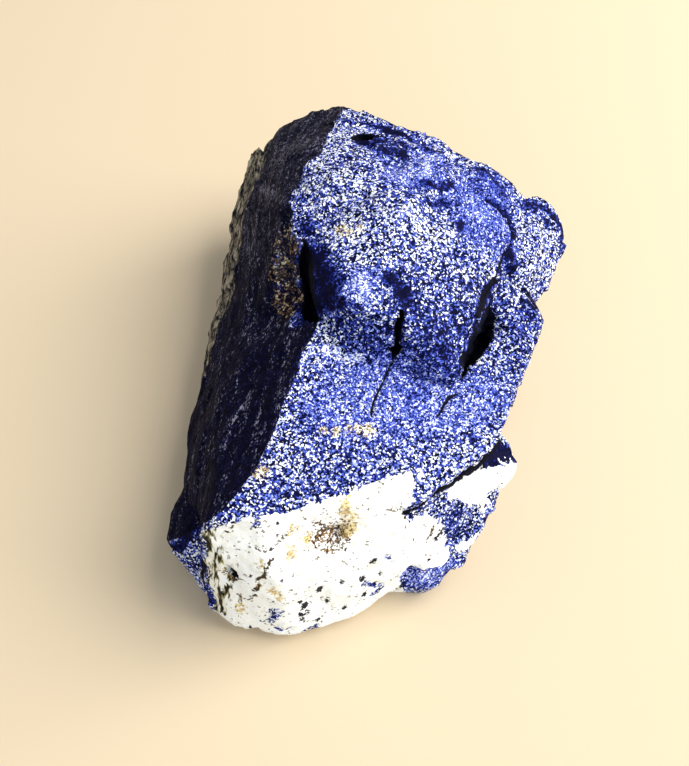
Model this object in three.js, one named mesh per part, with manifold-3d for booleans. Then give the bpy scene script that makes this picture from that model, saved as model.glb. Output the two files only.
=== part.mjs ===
// Rough lapis lazuli: one broken block of blue rock with a white calcite end, lying on its flattest side.
//
// Every fracture face of such a block is nearly flat, so the solid is described as a mason would rough it
// out: a few convex lumps, each the hull of its own corners, grown together into one piece, and then the
// clefts, hollows and notches that broke out of it. At the end the long faces are divided and every corner
// is shifted a little, because a fresh fracture is never a true plane.
//
// Millimetres, +Z up. The block lies along Y, with its calcite end at -Y and its shaded flank at -X.
// The origin is at the middle of the underside.

import * as THREE from 'three';
import { ConvexGeometry } from 'three/addons/geometries/ConvexGeometry.js';
import { mergeVertices } from 'three/addons/utils/BufferGeometryUtils.js';
import Module from 'manifold-3d';

// Driving dimensions of the finish of the faces
const LONGEST_EDGE = 6.5;        // longer edges are divided, so that a face can bend
const HEAVE_LENGTH = 17;         // spacing of the broad swellings of a face
const HEAVE_HEIGHT = 0.9;        // how far they carry a corner
const HACKLE_LENGTH = 6.5;       // spacing of the small hackly lumps
const HACKLE_HEIGHT = 0.6;
const QUIET_HEIGHT = 3;          // the shifting fades out below this height, to keep the underside flat
const WELD = 0.0005;             // corners closer than this are one corner

// The lower body, from the underside up to the long flat facet that ends at the calcite wall
const LOWER_BODY = [
  // west edge of the facet, from the step to the calcite
  [-12, -10, 43], [-13.5, -13, 43], [-16, -19, 42], [-18, -25, 41.5], [-21, -36, 40], [-24, -43, 39],
  [-28, -48, 38], [-32, -51, 36],
  // brow above the calcite wall
  [-24, -51, 37], [-11, -46, 36.5], [0, -43, 35.5], [8, -44, 32.5], [14, -39.5, 33],
  // east edge of the facet
  [21, -34, 33], [24.5, -28, 33], [27.5, -21.5, 33], [31.5, -10.5, 32], [35, -1, 31],
  // under the upper lump
  [33, 25, 34], [15, 42, 38], [-8, 48, 38],
  // west rim, where the long flank turns under
  [-25, 54, 28], [-34, 37, 19], [-36.5, 17.5, 16], [-39.5, -0.5, 14], [-41.5, -17, 12], [-41, -32, 12],
  // outline of the underside
  [-24, 52, 0], [-33, 37, 0], [-36, 15, 0], [-38, -20, 0], [-37, -42, 0], [-30, -52, 0], [-14, -54, 0],
  [0, -50, 0], [12, -40, 0], [22, -25, 0], [30, 0, 0], [35, 20, 0], [28, 42, 0], [8, 54, 0], [-12, 58, 0],
];

// The calcite end: a steep wall under the brow, with a rounded foot
const CALCITE_END = [
  [-33, -51, 34], [-24, -51, 37.5], [-11, -46, 36.5], [0, -43, 35.5], [6, -44.5, 33],
  [-34, -53, 24], [-20, -57, 22], [-8, -53, 22], [4, -50, 20],
  [-37, -50, 9], [-35.5, -54, 7], [-33, -56.5, 5], [-29, -59, 4], [-22, -60, 3.5], [-17, -60, 3],
  [-13, -59, 3], [-11, -57.5, 4], [-7, -56, 4], [-2, -55, 4], [6, -51, 8],
  [-30, -54, 0], [-20, -57, 0], [-8, -54, 0], [2, -50, 0], [-34, -40, 0], [10, -40, 18],
];

// The upper lump: the high half of the block, which ends in a steep step above the long facet
const UPPER_LUMP = [
  // crown and the ridge that runs down from it along the west side
  [-7, 51, 46.5], [-9.5, 53.5, 44.5], [-15.3, 57.5, 39.5], [-22.5, 57, 34], [-26.2, 58.5, 27],
  [-8, 45, 47.5], [-12, 33, 50],
  [-16.5, 24, 51], [-20, 15, 50.5], [-15.5, 8, 50.5], [-12, -1, 51.5],
  // a narrow bevel below that ridge, above the gully
  [-15.6, 5, 48], [-14, 0, 48], [-11.5, -6, 48.5],
  // edge of the step
  [-7, -11.5, 52], [-1.5, -15.5, 51], [2, -15.5, 50], [8.5, -16.5, 46], [14.5, -16, 43],
  // east edge, beside the open cleft and the knob
  [20.5, -7.5, 41.5], [22.5, -3, 42], [26, 2, 41.5], [28, 8, 41.5], [33, 27, 39.5],
  // north edge
  [33, 28.5, 39], [29.5, 31, 42], [24.5, 34, 43.5], [19.5, 34.5, 44.5], [13, 39, 45.5], [7, 43, 46.5],
  [1.5, 45.5, 46.5], [-5, 48, 46.5],
  // swelling of the top
  [4, 8, 56], [-5, 20, 55], [14, 20, 53.5], [0, 33, 52.5], [6, -9, 51.5],
  // foot of the step
  [-8, -17.5, 40], [2, -17, 39.5], [6, -18, 39], [15.5, -20, 37.5], [22, -8, 34],
  // where it grows out of the lower body
  [-34.5, 37, 20], [-33, 20, 22], [33, 28, 22], [30, 5, 20], [-16, -4, 34],
];

// A thin spur that carries the ridge on below the upper lump, beside a gully
const SPUR = [
  [-20, 15, 50], [-20.5, 8, 48], [-22, 4, 43.5], [-22, 0, 37.5], [-22.5, -6, 33],
  [-31, 16, 26], [-31, -5, 22], [-25, 20, 30], [-17, 6, 40], [-17, -1, 34], [-17, -6, 30],
];

// The knob that stands out at the north-east corner
const KNOB = [
  [33, 29, 38], [36.5, 31.5, 37], [39, 31.5, 34.5], [42.5, 28.5, 32], [44, 24, 30], [42.5, 19.5, 28.5],
  [40, 16, 27.5], [36, 9, 27], [29, 8, 38], [31, 20, 39.5], [38, 24, 36.5], [37, 17, 34.5],
  [40, 26, 19], [40, 20, 17], [35.5, 29, 6], [37.5, 20, 5], [35, 9, 9], [26, 10, 4], [24, 32, 4],
];

// The shoulder below the knob, on the far side of the open cleft
const SHOULDER = [
  [28, 7, 38], [33, 7, 35], [37, 2, 31.5], [35, -1.5, 30.5], [31.5, -10.5, 32.5], [24.5, -4, 37.5],
  [26, 2, 39.5], [34, 6.5, 30], [34.5, 8, 9], [35, 0, 12], [32, -6, 6], [20, -10, 20],
];

// The ledge that steps down from the facet at the south-east corner
const LEDGE = [
  [6, -45, 26], [14, -39.5, 27], [20, -34, 27], [24, -28, 27],
  [25.5, -25.5, 27.5], [27.5, -27.5, 24.5], [28.2, -30.5, 22.5], [24.8, -34, 18.5], [21.6, -38.5, 15.5],
  [19.2, -43, 12], [17.8, -46.5, 8.5], [14, -50.5, 6], [10, -52, 5], [5, -52, 6.5],
  [9, -49, 14], [14, -44, 17], [19, -37, 22], [22, -22, 20],
  [10, -50, 0], [2, -50, 0], [16, -42, 0], [21, -30, 0],
];

// The toe that stands out at the foot of the flank, beside the calcite
const TOE = [
  [-41, -31, 12.5], [-43.5, -37, 12.5], [-44, -42.5, 12], [-43, -44, 10.5], [-42, -45.5, 10],
  [-37, -50, 9], [-35, -50.5, 14], [-36.5, -44, 20], [-40, -30, 13.5],
  [-39, -46, 0], [-41, -32, 2], [-34, -52, 0], [-30, -35, 0],
];

// The heel: the foot of the steep back
const HEEL = [
  [-20, 55, 31], [-4, 52, 38.5], [12, 45, 37], [26, 36, 33], [-27, 57, 20], [-16, 60, 13], [4, 60, 15],
  [19, 52, 16], [31, 38, 14], [-24, 56, 0], [-12, 59, 0], [6, 58, 0], [16, 52, 0], [28, 41, 0], [0, 30, 10],
];

// A weathered rib that stands out a little along the foot of the flank
const RIB = [
  [-29.5, 58, 25.5], [-34.5, 37, 19], [-37, 17.5, 16], [-39.5, 1, 14.5],
  [-27, 55, 30.5], [-31, 36, 25], [-34.5, 17, 21], [-37.5, 1, 18.5],
  [-28, 55, 20], [-33, 36, 12], [-35, 17, 10], [-38, 0, 9], [-24, 36, 16],
];

// Clefts, hollows and notches, each the hull of the rock that broke out
const HOLLOWS = {
  // lens-shaped cleft in the middle of the step
  smallCleft: [
    [3.4, -15.5, 51.5], [1.7, -18, 48.3], [2, -19, 45.3], [4.8, -18, 48], [4.5, -19, 45.3],
    [2.6, -19.5, 39.5], [3.2, -8, 47.5], [3, -9, 42],
  ],
  // wider lens between the upper lump and the shoulder
  openCleft: [
    [24.5, -3.3, 44.4], [25.3, -6.7, 40.4], [25.2, -10.3, 37.6], [16.6, -22, 38.9], [16, -19.1, 42.8],
    [19.3, -11, 45.2], [21.6, -6.5, 45.4],
    [23.8, -1.5, 30.5], [20.5, -7, 29.5], [18, -12, 30],
  ],
  // long slot under the edge of the facet, above the ledge
  slot: [
    [27, -27, 30], [21, -34.5, 30.5], [14, -40.5, 30.5], [5, -47, 30], [27, -27, 26], [21, -34.5, 28],
    [14, -40.5, 28.5], [18, -28, 29], [8, -40, 29.5], [30, -33, 28],
  ],
  // deep gully between the spur and the upper lump
  gully: [
    [-14.8, 7.8, 54], [-16.6, 1.3, 50], [-17.2, -3.2, 43], [-15.6, -9.5, 43.5], [-11.8, -12.9, 45.4],
    [-10.9, -10.6, 47.9], [-12.8, -5.2, 50.5], [-13.5, 2.6, 53.9],
    [-15.3, 4, 43], [-14.8, -1, 38], [-13.5, -6, 36],
  ],
  // short gash behind the crown
  gash: [
    [-5.5, 34.8, 53.5], [-1.5, 32.2, 55], [3.5, 34, 54], [-1.5, 35, 55],
    [-4.5, 36, 48.5], [-1, 34.2, 48], [2.8, 35.5, 48.5],
  ],
  // deep pit low in the calcite wall
  pit: [
    [-30.5, -59, 24.5], [-28, -59, 24], [-27, -59, 19.5], [-29.5, -59, 18.5],
    [-29.5, -49, 22.5], [-28.5, -49, 20.5],
  ],
  // shallow dish high in the calcite wall
  dish: [
    [-14, -56, 29], [-12, -55, 33], [-7, -54, 34], [-4, -53, 31], [-5, -54, 26], [-11, -56, 25],
    [-10, -48.6, 31], [-7.5, -48.4, 31], [-9, -49.2, 28],
  ],
};

const wasm = await Module();
wasm.setup();

// A lump or a hollow: the hull of its corners as a closed solid
function hull(corners) {
  const points = corners.map((corner) => new THREE.Vector3(...corner));
  const geometry = new ConvexGeometry(points);
  geometry.deleteAttribute('normal');
  geometry.deleteAttribute('uv');
  const merged = mergeVertices(geometry, WELD);
  const mesh = new wasm.Mesh({
    numProp: 3,
    vertProperties: new Float32Array(merged.attributes.position.array),
    triVerts: new Uint32Array(merged.index.array),
  });
  return new wasm.Manifold(mesh);
}

// The corners and triangles of a solid, as plain arrays
function takeApart(solid) {
  const mesh = solid.getMesh();
  const points = [];
  for (let i = 0; i < mesh.vertProperties.length; i += mesh.numProp) {
    points.push(new THREE.Vector3().fromArray(mesh.vertProperties, i));
  }
  const triangles = [];
  for (let i = 0; i < mesh.triVerts.length; i += 3) {
    triangles.push([...mesh.triVerts.slice(i, i + 3)]);
  }
  return { points, triangles };
}

// Divides every edge longer than the limit at its middle, the same way in both faces that share it
function divideOnce(points, triangles, limit) {
  const middles = new Map();
  function middle(a, b) {
    const key = a < b ? `${a}_${b}` : `${b}_${a}`;
    if (!middles.has(key)) {
      const isLong = points[a].distanceTo(points[b]) > limit;
      middles.set(key, isLong ? points.push(points[a].clone().lerp(points[b], 0.5)) - 1 : -1);
    }
    return middles.get(key);
  }
  const divided = [];
  for (const [a, b, c] of triangles) {
    const sides = [[a, b, c], [b, c, a], [c, a, b]];
    const cuts = sides.map(([from, to]) => middle(from, to));
    const count = cuts.filter((cut) => cut >= 0).length;
    if (count === 0) {
      divided.push([a, b, c]);
    } else if (count === 3) {
      divided.push([a, cuts[0], cuts[2]], [b, cuts[1], cuts[0]], [c, cuts[2], cuts[1]], cuts);
    } else if (count === 1) {
      const k = cuts.findIndex((cut) => cut >= 0);
      const [from, to, tip] = sides[k];
      divided.push([from, cuts[k], tip], [cuts[k], to, tip]);
    } else {
      const k = cuts.findIndex((cut) => cut < 0);
      const [from, to, tip] = sides[k];
      const right = cuts[(k + 1) % 3];
      const left = cuts[(k + 2) % 3];
      divided.push([from, to, right], [from, right, left], [left, right, tip]);
    }
  }
  return divided;
}

// A repeatable number between -1 and 1 for each point of a whole-number lattice
function lattice(i, j, k, channel) {
  const mixed = Math.sin(i * 127.1 + j * 311.7 + k * 74.7 + channel * 53.9) * 43758.5453;
  return (mixed - Math.floor(mixed)) * 2 - 1;
}

// Smooth noise: the lattice numbers around the point, blended along all three axes
function noise(point, spacing, channel) {
  const scaled = point.clone().divideScalar(spacing);
  const cell = scaled.clone().floor();
  const part = scaled.clone().sub(cell);
  const ease = (t) => t * t * (3 - 2 * t);
  const weights = [ease(part.x), ease(part.y), ease(part.z)];
  let sum = 0;
  for (let corner = 0; corner < 8; corner += 1) {
    const step = [corner & 1, (corner >> 1) & 1, (corner >> 2) & 1];
    const weight = step.reduce((product, s, axis) => product * (s ? weights[axis] : 1 - weights[axis]), 1);
    sum += weight * lattice(cell.x + step[0], cell.y + step[1], cell.z + step[2], channel);
  }
  return sum;
}

// How far the fracture wanders from the ideal corner, as a vector that changes smoothly over the block
function wander(point) {
  const shift = new THREE.Vector3();
  for (let axis = 0; axis < 3; axis += 1) {
    const heave = HEAVE_HEIGHT * noise(point, HEAVE_LENGTH, axis);
    const hackle = HACKLE_HEIGHT * noise(point, HACKLE_LENGTH, axis + 3);
    shift.setComponent(axis, heave + hackle);
  }
  return shift.multiplyScalar(THREE.MathUtils.smoothstep(point.z, 0, QUIET_HEIGHT));
}

// The finished geometry of a solid: its faces divided and its corners shifted
function roughen(solid) {
  const { points, triangles } = takeApart(solid);
  let faces = triangles;
  let before = 0;
  while (points.length !== before) {
    before = points.length;
    faces = divideOnce(points, faces, LONGEST_EDGE);
  }
  const moved = points.map((point) => point.clone().add(wander(point)));
  const geometry = new THREE.BufferGeometry();
  geometry.setAttribute('position', new THREE.Float32BufferAttribute(moved.flatMap((p) => p.toArray()), 3));
  geometry.setIndex(faces.flat());
  geometry.computeVertexNormals();
  return geometry;
}

const lumps = [CALCITE_END, UPPER_LUMP, SPUR, KNOB, SHOULDER, LEDGE, TOE, HEEL, RIB].map(hull);
const whole = lumps.reduce((body, lump) => body.add(lump), hull(LOWER_BODY));
const broken = Object.values(HOLLOWS).map(hull).reduce((body, hollow) => body.subtract(hollow), whole);

const rock = new THREE.MeshStandardMaterial({ color: 0x2b3f9e, roughness: 0.8, metalness: 0 });
const stone = new THREE.Mesh(roughen(broken), rock);
stone.name = 'lapis_stone';

const box = new THREE.Box3().setFromObject(stone);
const middle = box.getCenter(new THREE.Vector3());
stone.position.set(-middle.x, -middle.y, 0);

const part = new THREE.Group();
part.add(stone);

export default part;
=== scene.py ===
# %% [markdown]
# # A rough lapis lazuli
# A broken block of blue rock with a white calcite end, lying on its flattest side. It has no parts to put
# together, so the whole lesson is about one surface: how a stone gets flat fracture faces, sharp edges,
# clefts and grain without anybody sculpting it by hand.
#
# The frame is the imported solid. Its box is kept first, because the finished stone has to stay inside it.

# %% The frame
import itertools
import math

import bpy
import numpy as np
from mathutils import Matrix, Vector


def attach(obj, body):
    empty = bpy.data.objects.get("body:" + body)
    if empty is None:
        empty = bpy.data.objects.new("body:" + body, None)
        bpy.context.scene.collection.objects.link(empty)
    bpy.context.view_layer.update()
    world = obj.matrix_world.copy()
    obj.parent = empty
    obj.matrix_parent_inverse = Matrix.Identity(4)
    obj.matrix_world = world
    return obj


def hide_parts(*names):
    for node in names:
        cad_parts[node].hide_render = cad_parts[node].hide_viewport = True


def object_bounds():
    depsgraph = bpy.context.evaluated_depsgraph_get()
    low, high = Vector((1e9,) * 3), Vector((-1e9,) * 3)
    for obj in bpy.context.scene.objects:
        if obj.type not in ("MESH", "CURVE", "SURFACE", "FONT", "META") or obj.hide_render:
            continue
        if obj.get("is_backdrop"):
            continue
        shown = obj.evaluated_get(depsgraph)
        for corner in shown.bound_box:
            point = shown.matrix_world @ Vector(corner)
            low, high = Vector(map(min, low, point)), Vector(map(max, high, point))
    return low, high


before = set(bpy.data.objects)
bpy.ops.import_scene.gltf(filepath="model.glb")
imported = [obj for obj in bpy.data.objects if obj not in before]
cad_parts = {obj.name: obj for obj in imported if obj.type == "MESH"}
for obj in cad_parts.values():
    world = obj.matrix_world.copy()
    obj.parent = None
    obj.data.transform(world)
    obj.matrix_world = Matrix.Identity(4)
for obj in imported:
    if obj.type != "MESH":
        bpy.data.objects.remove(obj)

scene = bpy.context.scene
cad_low, cad_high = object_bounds()
MM = 0.001
print("box of the solid in mm:", [round(v / MM, 1) for v in (*cad_low, *cad_high)])

# %% [markdown]
# ## Where the camera stands
# The stone is seen from above and in front, as one looks down on a thing on a desk. A focal length in
# pixels is what fixes the perspective, and the lens in millimetres follows from the long side of the
# picture.

# %% Camera
PICTURE_HEIGHT = 766
FOCAL_PIXELS = 1000
CAMERA_PLACE = (-0.0071, -0.1335, 0.2010)
CAMERA_TILT = math.radians(55.6)     # below the horizon

camera_data = bpy.data.cameras.new("camera")
camera_data.lens = FOCAL_PIXELS / PICTURE_HEIGHT * camera_data.sensor_width
camera = bpy.data.objects.new("camera", camera_data)
camera.location = CAMERA_PLACE
camera.rotation_euler = (math.pi / 2 - CAMERA_TILT, 0, 0)
scene.collection.objects.link(camera)
scene.camera = camera
print(f"lens {camera_data.lens:.1f} mm, {math.dist(CAMERA_PLACE, (0, 0, 0.03)) / MM:.0f} mm from the stone")

# %% [markdown]
# ## Light and floor
# One large soft window on the right lights every face that looks up or right and leaves the long flank on
# the left in deep shade. A weak cool light in front of the stone lifts its steep white end, and a dim sky
# fills the rest of the shade. The floor is plain pale cream. The Standard view transform keeps the blue
# as it is mixed.

# %% Floor
FLOOR_HALF = 1.5
PALE_CREAM = (0.64, 0.52, 0.36, 1)

floor_material = bpy.data.materials.new("pale_floor")
floor_material.use_nodes = True
floor_shader = floor_material.node_tree.nodes["Principled BSDF"]
floor_shader.inputs["Base Color"].default_value = PALE_CREAM
floor_shader.inputs["Roughness"].default_value = 0.9
floor_mesh = bpy.data.meshes.new("floor")
floor_corners = [(x * FLOOR_HALF, y * FLOOR_HALF, 0) for x, y in ((-1, -1), (1, -1), (1, 1), (-1, 1))]
floor_mesh.from_pydata(floor_corners, [], [(0, 1, 2, 3)])
floor_mesh.materials.append(floor_material)
floor = bpy.data.objects.new("floor", floor_mesh)
scene.collection.objects.link(floor)
floor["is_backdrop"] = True
print("floor", 2 * FLOOR_HALF, "m square")


# %% Lights
def window(name, place, aim, size, power, colour):
    """A square soft light at a place, turned so that it faces the aim."""
    data = bpy.data.lights.new(name, "AREA")
    data.shape = "SQUARE"
    data.size = size
    data.energy = power
    data.color = colour
    light = bpy.data.objects.new(name, data)
    light.location = place
    light.rotation_euler = (Vector(aim) - Vector(place)).to_track_quat("-Z", "Y").to_euler()
    scene.collection.objects.link(light)


STONE_MIDDLE = (0, 0, 0.025)
window("window", (0.60, 0.06, 0.62), STONE_MIDDLE, size=0.80, power=14.0, colour=(1.0, 0.975, 0.92))
window("fill", (0.15, -0.80, 0.22), STONE_MIDDLE, size=0.50, power=1.3, colour=(0.58, 0.84, 1.0))

SKY_COLOUR = (0.90, 0.94, 1.0, 1)
SKY_STRENGTH = 0.62
world = bpy.data.worlds.new("room")
world.use_nodes = True
sky = world.node_tree.nodes["Background"]
sky.inputs["Color"].default_value = SKY_COLOUR
sky.inputs["Strength"].default_value = SKY_STRENGTH
scene.world = world
scene.view_settings.view_transform = "Standard"

# %% [markdown]
# ## The faces of a broken block
# A block like this is a few convex lumps grown together. Each lump is the hull of its corners, and a hull
# is the same thing as a set of planes: every plane through three corners that has all the others behind
# it. Trying all triples at once is a single numpy expression, and quick for fifty corners. The corners
# are those of the solid, in millimetres.

# %% Corners of the lumps
# the lower body, up to the long flat facet
LOWER_BODY = [
    # west edge of the facet, from the step to the calcite
    (-12, -10, 43), (-13.5, -13, 43), (-16, -19, 42), (-18, -25, 41.5), (-21, -36, 40), (-24, -43, 39),
    (-28, -48, 38), (-32, -51, 36),
    # brow above the calcite wall
    (-24, -51, 37), (-11, -46, 36.5), (0, -43, 35.5), (8, -44, 32.5), (14, -39.5, 33),
    # east edge of the facet
    (21, -34, 33), (24.5, -28, 33), (27.5, -21.5, 33), (31.5, -10.5, 32), (35, -1, 31),
    # under the upper lump
    (33, 25, 34), (15, 42, 38), (-8, 48, 38),
    # west rim, where the long flank turns under
    (-25, 54, 28), (-34, 37, 19), (-36.5, 17.5, 16), (-39.5, -0.5, 14), (-41.5, -17, 12), (-41, -32, 12),
    # outline of the underside
    (-24, 52, 0), (-33, 37, 0), (-36, 15, 0), (-38, -20, 0), (-37, -42, 0), (-30, -52, 0), (-14, -54, 0),
    (0, -50, 0), (12, -40, 0), (22, -25, 0), (30, 0, 0), (35, 20, 0), (28, 42, 0), (8, 54, 0), (-12, 58, 0),
]
# the calcite end
CALCITE_END = [
    (-33, -51, 34), (-24, -51, 37.5), (-11, -46, 36.5), (0, -43, 35.5), (6, -44.5, 33), (-34, -53, 24),
    (-20, -57, 22), (-8, -53, 22), (4, -50, 20), (-37, -50, 9), (-35.5, -54, 7), (-33, -56.5, 5),
    (-29, -59, 4), (-22, -60, 3.5), (-17, -60, 3), (-13, -59, 3), (-11, -57.5, 4), (-7, -56, 4),
    (-2, -55, 4), (6, -51, 8), (-30, -54, 0), (-20, -57, 0), (-8, -54, 0), (2, -50, 0), (-34, -40, 0),
    (10, -40, 18),
]
# the high half, which ends in a steep step
UPPER_LUMP = [
    # crown and the ridge that runs down from it along the west side
    (-7, 51, 46.5), (-9.5, 53.5, 44.5), (-15.3, 57.5, 39.5), (-22.5, 57, 34), (-26.2, 58.5, 27),
    (-8, 45, 47.5), (-12, 33, 50),
    (-16.5, 24, 51), (-20, 15, 50.5), (-15.5, 8, 50.5), (-12, -1, 51.5),
    # a narrow bevel below that ridge, above the gully
    (-15.6, 5, 48), (-14, 0, 48), (-11.5, -6, 48.5),
    # edge of the step
    (-7, -11.5, 52), (-1.5, -15.5, 51), (2, -15.5, 50), (8.5, -16.5, 46), (14.5, -16, 43),
    # east edge, beside the open cleft and the knob
    (20.5, -7.5, 41.5), (22.5, -3, 42), (26, 2, 41.5), (28, 8, 41.5), (33, 27, 39.5),
    # north edge
    (33, 28.5, 39), (29.5, 31, 42), (24.5, 34, 43.5), (19.5, 34.5, 44.5), (13, 39, 45.5), (7, 43, 46.5),
    (1.5, 45.5, 46.5), (-5, 48, 46.5),
    # swelling of the top
    (4, 8, 56), (-5, 20, 55), (14, 20, 53.5), (0, 33, 52.5), (6, -9, 51.5),
    # foot of the step
    (-8, -17.5, 40), (2, -17, 39.5), (6, -18, 39), (15.5, -20, 37.5), (22, -8, 34),
    # where it grows out of the lower body
    (-34.5, 37, 20), (-33, 20, 22), (33, 28, 22), (30, 5, 20), (-16, -4, 34),
]
# a thin spur on the west ridge
SPUR = [
    (-20, 15, 50), (-20.5, 8, 48), (-22, 4, 43.5), (-22, 0, 37.5), (-22.5, -6, 33), (-31, 16, 26),
    (-31, -5, 22), (-25, 20, 30), (-17, 6, 40), (-17, -1, 34), (-17, -6, 30),
]
# the knob at the north-east corner
KNOB = [
    (33, 29, 38), (36.5, 31.5, 37), (39, 31.5, 34.5), (42.5, 28.5, 32), (44, 24, 30), (42.5, 19.5, 28.5),
    (40, 16, 27.5), (36, 9, 27), (29, 8, 38), (31, 20, 39.5), (38, 24, 36.5), (37, 17, 34.5),
    (40, 26, 19), (40, 20, 17), (35.5, 29, 6), (37.5, 20, 5), (35, 9, 9), (26, 10, 4), (24, 32, 4),
]
# the shoulder below the knob
SHOULDER = [
    (28, 7, 38), (33, 7, 35), (37, 2, 31.5), (35, -1.5, 30.5), (31.5, -10.5, 32.5), (24.5, -4, 37.5),
    (26, 2, 39.5), (34, 6.5, 30), (34.5, 8, 9), (35, 0, 12), (32, -6, 6), (20, -10, 20),
]
# the ledge at the south-east corner
LEDGE = [
    (6, -45, 26), (14, -39.5, 27), (20, -34, 27), (24, -28, 27), (25.5, -25.5, 27.5), (27.5, -27.5, 24.5),
    (28.2, -30.5, 22.5), (24.8, -34, 18.5), (21.6, -38.5, 15.5), (19.2, -43, 12), (17.8, -46.5, 8.5),
    (14, -50.5, 6), (10, -52, 5), (5, -52, 6.5), (9, -49, 14), (14, -44, 17), (19, -37, 22),
    (22, -22, 20), (10, -50, 0), (2, -50, 0), (16, -42, 0), (21, -30, 0),
]
# the toe beside the calcite
TOE = [
    (-41, -31, 12.5), (-43.5, -37, 12.5), (-44, -42.5, 12), (-43, -44, 10.5), (-42, -45.5, 10),
    (-37, -50, 9), (-35, -50.5, 14), (-36.5, -44, 20), (-40, -30, 13.5), (-39, -46, 0), (-41, -32, 2),
    (-34, -52, 0), (-30, -35, 0),
]
# the foot of the steep back
HEEL = [
    (-20, 55, 31), (-4, 52, 38.5), (12, 45, 37), (26, 36, 33), (-27, 57, 20), (-16, 60, 13), (4, 60, 15),
    (19, 52, 16), (31, 38, 14), (-24, 56, 0), (-12, 59, 0), (6, 58, 0), (16, 52, 0), (28, 41, 0),
    (0, 30, 10),
]
# the weathered rib along the foot of the flank
RIB = [
    (-29.5, 58, 25.5), (-34.5, 37, 19), (-37, 17.5, 16), (-39.5, 1, 14.5), (-27, 55, 30.5), (-31, 36, 25),
    (-34.5, 17, 21), (-37.5, 1, 18.5), (-28, 55, 20), (-33, 36, 12), (-35, 17, 10), (-38, 0, 9),
    (-24, 36, 16),
]
LUMPS = [LOWER_BODY, CALCITE_END, UPPER_LUMP, SPUR, KNOB, SHOULDER, LEDGE, TOE, HEEL, RIB]
print(len(LUMPS), "lumps,", sum(map(len, LUMPS)), "corners")

# %% Hollows that broke out of them
# lens-shaped cleft in the middle of the step
SMALL_CLEFT = [
    (3.4, -15.5, 51.5), (1.7, -18, 48.3), (2, -19, 45.3), (4.8, -18, 48), (4.5, -19, 45.3),
    (2.6, -19.5, 39.5), (3.2, -8, 47.5), (3, -9, 42),
]
# wider lens between the upper lump and the shoulder
OPEN_CLEFT = [
    (24.5, -3.3, 44.4), (25.3, -6.7, 40.4), (25.2, -10.3, 37.6), (16.6, -22, 38.9), (16, -19.1, 42.8),
    (19.3, -11, 45.2), (21.6, -6.5, 45.4), (23.8, -1.5, 30.5), (20.5, -7, 29.5), (18, -12, 30),
]
# long slot under the edge of the facet, above the ledge
SLOT = [
    (27, -27, 30), (21, -34.5, 30.5), (14, -40.5, 30.5), (5, -47, 30), (27, -27, 26), (21, -34.5, 28),
    (14, -40.5, 28.5), (18, -28, 29), (8, -40, 29.5), (30, -33, 28),
]
# deep gully between the spur and the upper lump
GULLY = [
    (-14.8, 7.8, 54), (-16.6, 1.3, 50), (-17.2, -3.2, 43), (-15.6, -9.5, 43.5), (-11.8, -12.9, 45.4),
    (-10.9, -10.6, 47.9), (-12.8, -5.2, 50.5), (-13.5, 2.6, 53.9), (-15.3, 4, 43), (-14.8, -1, 38),
    (-13.5, -6, 36),
]
# short gash behind the crown
GASH = [
    (-5.5, 34.8, 53.5), (-1.5, 32.2, 55), (3.5, 34, 54), (-1.5, 35, 55), (-4.5, 36, 48.5), (-1, 34.2, 48),
    (2.8, 35.5, 48.5),
]
# deep pit low in the calcite wall
PIT = [
    (-30.5, -59, 24.5), (-28, -59, 24), (-27, -59, 19.5), (-29.5, -59, 18.5), (-29.5, -49, 22.5),
    (-28.5, -49, 20.5),
]
# shallow dish high in the calcite wall
DISH = [
    (-14, -56, 29), (-12, -55, 33), (-7, -54, 34), (-4, -53, 31), (-5, -54, 26), (-11, -56, 25),
    (-10, -48.6, 31), (-7.5, -48.4, 31), (-9, -49.2, 28),
]
HOLLOWS = [SMALL_CLEFT, OPEN_CLEFT, SLOT, GULLY, GASH, PIT, DISH]
HOLLOW_AXES = [      # the way each of them was driven into the rock
    (0.0, 1.0, -0.2), (0.0, 0.5, -0.8), (-0.6, 0.7, -0.3), (0.0, 0.5, -0.8), (0.0, 0.5, -0.8),
    (0.1, 1.0, -0.2), (0.0, 1.0, -0.1),
]
# painted shade: the inside of every hollow but the dish is painted near black
HOLLOW_SHADED = [True, True, True, True, True, True, False]      # all but the dish lie in deep shade
print(len(HOLLOWS), "hollows")

# %% From corners to planes
TINY = 1e-6      # millimetres
STILL = 1e-9     # a rate or a length as good as none


def face_planes(corners):
    """Planes of the hull of the corners, as rows of outward normal and offset.

    A plane through three corners is a face of the hull when every other corner lies on one side of it.
    """
    points = np.array(corners, float)
    triples = np.array(list(itertools.combinations(range(len(points)), 3)))
    a, b, c = (points[triples[:, k]] for k in range(3))
    normals = np.cross(b - a, c - a)
    lengths = np.linalg.norm(normals, axis=1)
    solid = lengths > TINY
    normals = normals[solid] / lengths[solid, None]
    planes = np.c_[normals, np.einsum("ij,ij->i", normals, a[solid])]
    ahead = points @ normals.T - planes[:, 3]
    outward = planes[(ahead < TINY).all(axis=0)]
    inward = planes[(ahead > -TINY).all(axis=0)]
    return np.unique(np.concatenate([outward, -inward]).round(6), axis=0)


lump_planes = [face_planes(corners) for corners in LUMPS]
hollow_planes = [face_planes(corners) for corners in HOLLOWS]
print("planes of the lumps:", [len(planes) for planes in lump_planes])

# %% [markdown]
# ## One function for the whole surface
# Seen from a point in its heart, the stone has one surface in every direction, so the surface is a
# function: how far it reaches along each direction. Inside a convex lump that distance is the nearest
# plane ahead, and lumps grown together reach as far as the farthest of them. Nothing has to be joined or
# trimmed, and edges come out sharp by themselves. A hollow is pressed in afterwards: each point that lies
# inside it is pushed along the hollow's own axis until it comes out at the far side.

# %% Reach along a direction
HEART = np.array([0.0, 0.0, 24.0])


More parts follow.
